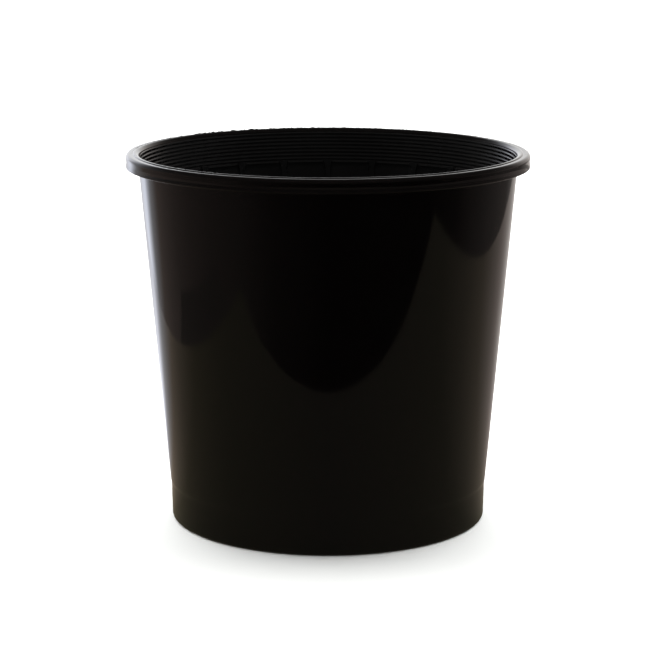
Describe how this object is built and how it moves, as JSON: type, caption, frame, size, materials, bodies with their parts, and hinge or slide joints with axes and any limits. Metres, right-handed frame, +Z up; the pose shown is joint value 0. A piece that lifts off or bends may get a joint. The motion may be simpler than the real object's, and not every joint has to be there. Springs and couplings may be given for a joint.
{
  "type": "florist bucket",
  "caption": "Tapered round black plastic flower bucket with a turned-down lip, fine rings inside the mouth and upright anti-jam ribs below them.",
  "frame": {"origin": "centre of the circle that the foot stands on, at floor level", "axes": "+Z up along the bucket's axis; +Y passes through the middle of one inner rib, and the ribs repeat every 15 degrees"},
  "size_m": [0.225, 0.225, 0.208],
  "materials": {
    "black_polypropylene": "glossy as moulded, faint flow lines and fine scuffs"
  },
  "bodies": {
    "root": {"bucket": "black_polypropylene"}
  },
  "joints": []
}
